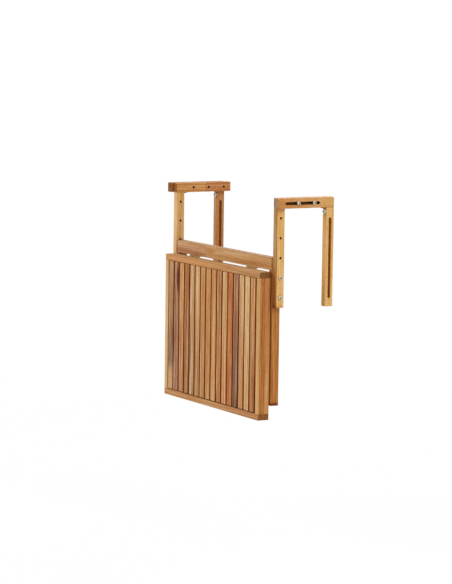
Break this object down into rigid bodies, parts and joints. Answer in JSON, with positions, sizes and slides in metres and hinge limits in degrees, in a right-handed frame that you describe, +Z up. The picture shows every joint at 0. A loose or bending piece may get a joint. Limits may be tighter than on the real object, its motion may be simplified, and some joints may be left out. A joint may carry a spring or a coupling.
{
  "type": "folding balcony hanging table",
  "caption": "Slatted wooden table that hangs on a balcony railing from two adjustable hooks; its top folds down flat and is held level by a swinging stay.",
  "frame": {"origin": "middle of the railing's top edge on the balcony side: the pads of the arms rest at Z = 0 and the back faces of the front legs are at Y = 0", "axes": "+X along the railing, to the right for a person on the balcony who faces it; +Y out over the railing; +Z up"},
  "size_m": [0.7076, 0.236, 0.673],
  "materials": {
    "acacia_pale": "oiled, satin",
    "acacia_tan": "oiled, satin",
    "acacia_orange": "oiled, satin",
    "acacia_brown": "oiled, satin",
    "stainless_steel": "satin",
    "brassed_steel": "satin",
    "rubber": "matt"
  },
  "bodies": {
    "frame": {"arm_bolts": "stainless_steel", "frame_bolts": "stainless_steel", "front_leg_left": "acacia_tan", "front_leg_right": "acacia_tan", "front_pad_left": "rubber", "front_pad_right": "rubber", "hanging_rail": "acacia_tan", "hinge_pins": "brassed_steel", "inner_arm_left": "acacia_tan", "inner_arm_right": "acacia_tan", "insert_nuts": "stainless_steel", "rail_hinge_leaves": "brassed_steel", "rail_hinge_screws": "brassed_steel", "stay_pivots": "stainless_steel", "stay_spacers": "stainless_steel", "stile_left": "acacia_brown", "stile_right": "acacia_brown"},
    "tabletop": {"batten_front_side": "acacia_tan", "batten_hinge_side": "acacia_tan", "batten_stay": "acacia_tan", "slat_01": "acacia_tan", "slat_02": "acacia_brown", "slat_03": "acacia_orange", "slat_04": "acacia_brown", "slat_05": "acacia_pale", "slat_06": "acacia_pale", "slat_07": "acacia_tan", "slat_08": "acacia_tan", "slat_09": "acacia_pale", "slat_10": "acacia_brown", "slat_11": "acacia_pale", "slat_12": "acacia_orange", "slat_13": "acacia_brown", "slat_14": "acacia_pale", "slat_15": "acacia_pale", "slat_16": "acacia_brown", "slat_screws": "stainless_steel", "tabletop_hinge_leaves": "brassed_steel", "tabletop_hinge_screws": "brassed_steel", "tabletop_rail_front_side": "acacia_tan", "tabletop_rail_hinge_side": "acacia_tan", "tabletop_side_left": "acacia_pale", "tabletop_side_right": "acacia_tan"},
    "stay": {"stay_arm_left": "acacia_tan", "stay_arm_right": "acacia_tan", "stay_bar": "acacia_tan"},
    "hook_left": {"outer_arm_left": "acacia_tan", "rear_leg_left": "acacia_tan", "rear_pad_left": "rubber", "tie_screw_left": "stainless_steel"},
    "hook_right": {"outer_arm_right": "acacia_tan", "rear_leg_right": "acacia_tan", "rear_pad_right": "rubber", "tie_screw_right": "stainless_steel"}
  },
  "joints": [
    {"name": "tabletop_fold", "type": "hinge", "parent": "frame", "child": "tabletop", "pos_m": [0, -0.0285, -0.18875], "axis": [-1, 0, 0], "range_deg": [0, 90]},
    {"name": "stay_swing", "type": "hinge", "parent": "frame", "child": "stay", "pos_m": [0, -0.0135, -0.33075], "axis": [-1, 0, 0], "range_deg": [0, 126.2]},
    {"name": "hook_slide_left", "type": "slide", "parent": "frame", "child": "hook_left", "axis": [0, 1, 0], "range_m": [-0.0165, 0.0415]},
    {"name": "hook_slide_right", "type": "slide", "parent": "frame", "child": "hook_right", "axis": [0, 1, 0], "range_m": [-0.0165, 0.0415]}
  ],
  "couplings": [
    {"joint": "stay_swing", "follows": "tabletop_fold", "ratio": 1.401}
  ]
}
